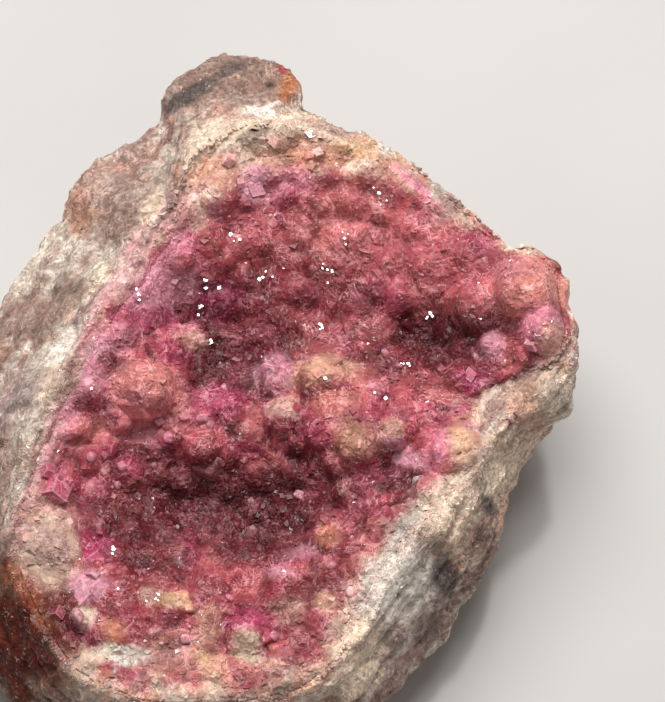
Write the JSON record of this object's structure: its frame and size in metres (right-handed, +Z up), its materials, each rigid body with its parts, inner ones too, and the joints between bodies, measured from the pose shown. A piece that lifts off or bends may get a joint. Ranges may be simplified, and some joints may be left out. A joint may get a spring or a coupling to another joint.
{
  "type": "cobaltoan calcite specimen",
  "caption": "Broken hand specimen of pale host rock whose shallow vug is lined with a pink to magenta crust of calcite crystals.",
  "frame": {"origin": "on the flat resting face, under the middle of the specimen's bounding box", "axes": "+Z up, out of the resting face, the vug facing up; +Y along the specimen towards the knob at its narrow end; +X across it"},
  "size_m": [0.0563, 0.0676, 0.0229],
  "materials": {
    "host_rock": "rough broken stone, grey-brown with cream and rusty patches",
    "calcite_crust": "glassy translucent crystal, raspberry pink to deep magenta with cream crests"
  },
  "bodies": {
    "root": {"host_rock": "host_rock", "calcite_crust": "calcite_crust"}
  },
  "joints": []
}
